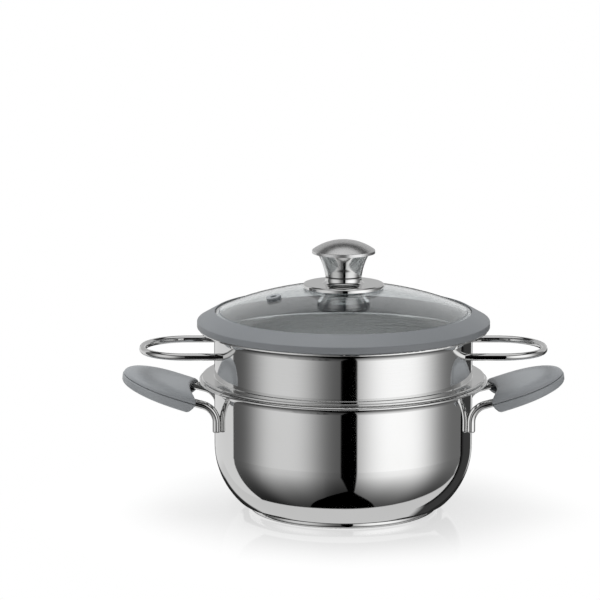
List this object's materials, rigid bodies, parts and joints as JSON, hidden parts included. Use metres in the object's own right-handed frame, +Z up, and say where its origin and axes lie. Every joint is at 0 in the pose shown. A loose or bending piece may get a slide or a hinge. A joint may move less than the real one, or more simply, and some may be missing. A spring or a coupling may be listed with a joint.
{
  "type": "steamer pot",
  "caption": "Low bellied pot with wire handles and slip-on silicone grips, a perforated steaming basket that stands in its mouth, and a domed glass lid with a flared knob.",
  "frame": {"origin": "middle of the pot's underside, on the surface it stands on", "axes": "+Z up along the pot's axis, +X through the right handles, -Y towards the viewer of the picture"},
  "size_m": [0.346, 0.228, 0.2119],
  "materials": {
    "polished_steel": "mirror-polished stainless steel",
    "satin_steel": "satin stainless steel, turned lines on the floor",
    "aluminium": "plain, sealed inside the base",
    "clear_glass": "clear polished tempered glass",
    "grey_silicone": "matt moulded silicone",
    "dark_seal": "matt heat-proof seal"
  },
  "bodies": {
    "pot": {"pot_shell": "polished_steel", "base_core": "aluminium", "base_cap": "polished_steel", "pot_handle_left": "polished_steel", "pot_handle_right": "polished_steel"},
    "basket": {"basket_shell": "satin_steel", "basket_handle_left": "polished_steel", "basket_handle_right": "polished_steel"},
    "lid": {"lid_glass": "clear_glass", "lid_ring": "grey_silicone", "vent_grommet": "grey_silicone", "knob_cap": "polished_steel", "knob_body": "polished_steel", "knob_groove_ring": "dark_seal", "knob_collar": "polished_steel", "knob_disc": "polished_steel", "knob_insert": "satin_steel", "knob_screw": "satin_steel", "lock_washer": "satin_steel", "knob_top_seal": "dark_seal", "knob_bottom_seal": "dark_seal", "glass_bush": "dark_seal", "under_cup": "polished_steel"},
    "grip_left_body": {"grip_left": "grey_silicone"},
    "grip_right_body": {"grip_right": "grey_silicone"}
  },
  "joints": [
    {"name": "basket_lift", "type": "slide", "parent": "pot", "child": "basket", "axis": [0, 0, 1], "range_m": [0, 0.075]},
    {"name": "lid_lift", "type": "slide", "parent": "basket", "child": "lid", "axis": [0, 0, 1], "range_m": [0, 0.075]},
    {"name": "grip_left_slide", "type": "slide", "parent": "pot", "child": "grip_left_body", "axis": [-0.9659, 0, 0.2588], "range_m": [0, 0.07]},
    {"name": "grip_right_slide", "type": "slide", "parent": "pot", "child": "grip_right_body", "axis": [0.9659, 0, 0.2588], "range_m": [0, 0.07]}
  ]
}
